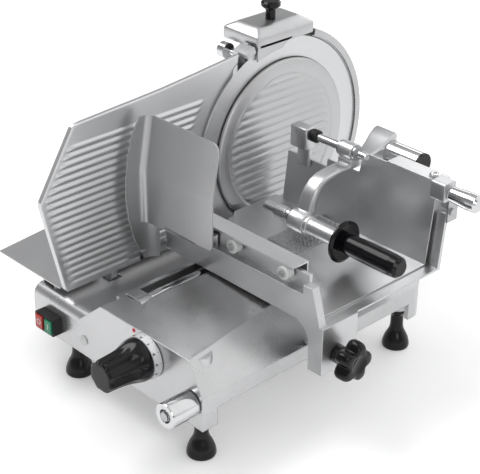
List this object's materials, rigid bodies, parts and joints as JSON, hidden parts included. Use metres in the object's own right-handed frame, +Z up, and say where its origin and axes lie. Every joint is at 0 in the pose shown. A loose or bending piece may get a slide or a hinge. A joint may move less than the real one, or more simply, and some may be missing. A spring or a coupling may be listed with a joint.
{
  "type": "meat slicer",
  "caption": "Vertical meat slicer: round blade under a ribbed cover, ribbed gauge plate, hand pushed carriage with a sliding table, press arm and guard",
  "frame": {"origin": "on the floor plane, straight below the blade's axis, in the plane of the cutting edge", "axes": "+X across the blade towards the carriage, +Y along the carriage's travel away from the operator, +Z up"},
  "size_m": [0.528, 0.613, 0.43],
  "materials": {
    "belt": "flat rubber drive belt",
    "black": "matt black plastic",
    "blade": "ground and polished blade steel",
    "bright": "bright chrome",
    "bronze": "sintered bronze bush",
    "cast": "anodised satin cast aluminium",
    "gauge": "brushed ribbed aluminium",
    "green": "green switch rocker",
    "motor": "grey enamelled motor body",
    "plastic": "black moulded plastic",
    "polish": "polished stainless sheet",
    "red": "red switch rocker",
    "rubber": "black rubber foot on a steel stud",
    "steel": "fine ground steel",
    "stone": "bonded abrasive wheel",
    "white": "white low friction plastic"
  },
  "bodies": {
    "base": {"base_casting": "cast", "bottom_plate": "steel", "feet": "rubber", "rod_brackets": "cast", "slide_rod": "bright", "switch_housing": "black", "cap_plug": "white", "gauge_guide": "steel", "receiving_tray": "polish", "blade_head": "cast", "head_bolts": "steel", "bearings": "steel", "drive_housing": "cast", "motor": "motor", "drive_belt": "belt", "slice_deflector": "polish", "blade_cover": "gauge"},
    "cover_knob": {"cover_knob": "plastic"},
    "dial": {"dial_ring": "gauge", "dial_knob": "plastic", "dial_spindle": "steel"},
    "release": {"release_knob": "bright", "release_shaft": "steel"},
    "gauge": {"gauge_plate": "gauge", "gauge_arm": "cast"},
    "stop_button": {"stop_button": "red"},
    "start_button": {"start_button": "green"},
    "blade": {"blade": "blade", "blade_shaft": "steel", "blade_pulley": "steel"},
    "motor_pulley": {"motor_pulley": "steel"},
    "sharpener": {"sharpener_housing": "cast", "sharpener_knob": "plastic", "stone_carrier": "black"},
    "grinding_stone": {"grinding_stone": "stone"},
    "deburring_stone": {"deburring_stone": "stone"},
    "side_wheel": {"side_wheel": "bright"},
    "carriage": {"carriage_frame": "cast", "carriage_bushings": "bronze", "hand_guard": "polish", "roller_pins": "steel", "lock_bracket": "steel", "lock_screw": "steel"},
    "star": {"star_knob": "plastic", "clamp_stud": "steel"},
    "roller_left": {"roller_left": "white"},
    "roller_right": {"roller_right": "white"},
    "table": {"product_table": "polish", "spike_plate": "steel", "rod_block": "cast", "lock_block": "cast"},
    "lock_knob": {"lock_knob": "bright"},
    "press_rod": {"press_rod": "bright", "rod_collar": "black"},
    "press_arm": {"arm_sleeve": "bronze", "press_arm": "cast", "arm_tube": "bright", "arm_tube_cap": "plastic", "pusher_shaft": "bright", "pusher_handle": "plastic"}
  },
  "joints": [
    {"name": "carriage_travel", "type": "slide", "parent": "base", "child": "carriage", "axis": [0, 1, 0], "range_m": [-0.122, 0.13]},
    {"name": "table_travel", "type": "slide", "parent": "carriage", "child": "table", "axis": [1, 0, 0], "range_m": [0, 0.12]},
    {"name": "roller_left_turn", "type": "hinge", "parent": "carriage", "child": "roller_left", "pos_m": [0.147, -0.225, 0.2085], "axis": [0, 1, 0], "continuous": true},
    {"name": "roller_right_turn", "type": "hinge", "parent": "carriage", "child": "roller_right", "pos_m": [0.236, -0.225, 0.2085], "axis": [0, 1, 0], "continuous": true},
    {"name": "lock_pull", "type": "slide", "parent": "table", "child": "lock_knob", "axis": [1, 0, 0], "range_m": [0, 0.01], "stiffness_N_per_m": 300, "springref_m": -0.004},
    {"name": "arm_swing", "type": "hinge", "parent": "table", "child": "press_rod", "pos_m": [0.145, -0.0175, 0.273], "axis": [-1, 0, 0], "range_deg": [0, 18]},
    {"name": "arm_slide", "type": "slide", "parent": "press_rod", "child": "press_arm", "axis": [1, 0, 0], "range_m": [-0.039, 0]},
    {"name": "star_turn", "type": "hinge", "parent": "carriage", "child": "star", "pos_m": [0.318, -0.202, 0.115], "axis": [1, 0, 0], "range_deg": [0, 360]},
    {"name": "dial_turn", "type": "hinge", "parent": "base", "child": "dial", "pos_m": [0.159, -0.391, 0.121], "axis": [0, 1, 0], "range_deg": [0, 300]},
    {"name": "gauge_travel", "type": "slide", "parent": "base", "child": "gauge", "axis": [-1, 0, 0], "range_m": [0, 0.016]},
    {"name": "release_turn", "type": "hinge", "parent": "base", "child": "release", "pos_m": [0.238, -0.4, 0.093], "axis": [0, 1, 0], "range_deg": [0, 90]},
    {"name": "stop_press", "type": "slide", "parent": "base", "child": "stop_button", "axis": [0, 1, 0], "range_m": [0, 0.0035], "stiffness_N_per_m": 250, "springref_m": -0.001},
    {"name": "start_press", "type": "slide", "parent": "base", "child": "start_button", "axis": [0, 1, 0], "range_m": [0, 0.0035], "stiffness_N_per_m": 250, "springref_m": -0.001},
    {"name": "blade_spin", "type": "hinge", "parent": "base", "child": "blade", "pos_m": [0, 0, 0.233], "axis": [1, 0, 0], "continuous": true},
    {"name": "motor_spin", "type": "hinge", "parent": "base", "child": "motor_pulley", "pos_m": [-0.06, 0.072, 0.118], "axis": [1, 0, 0], "continuous": true},
    {"name": "cover_knob_turn", "type": "hinge", "parent": "base", "child": "cover_knob", "pos_m": [-0.08, 0, 0.233], "axis": [1, 0, 0], "range_deg": [0, 360]},
    {"name": "side_wheel_turn", "type": "hinge", "parent": "base", "child": "side_wheel", "pos_m": [-0.05, -0.054, 0.365], "axis": [1, 0, 0], "range_deg": [0, 360]},
    {"name": "sharpener_lift", "type": "slide", "parent": "base", "child": "sharpener", "axis": [0, 0, 1], "range_m": [0, 0.025]},
    {"name": "grinding_spin", "type": "hinge", "parent": "sharpener", "child": "grinding_stone", "pos_m": [-0.008, -0.02, 0.371], "axis": [1, 0, 0], "continuous": true},
    {"name": "deburring_spin", "type": "hinge", "parent": "sharpener", "child": "deburring_stone", "pos_m": [-0.008, 0.022, 0.371], "axis": [1, 0, 0], "continuous": true}
  ],
  "couplings": [
    {"joint": "gauge_travel", "follows": "dial_turn", "m_per_rad": 0.00305},
    {"joint": "motor_spin", "follows": "blade_spin", "ratio": 2.875},
    {"joint": "roller_left_turn", "follows": "table_travel", "rad_per_m": 111.1},
    {"joint": "roller_right_turn", "follows": "table_travel", "rad_per_m": 111.1}
  ]
}
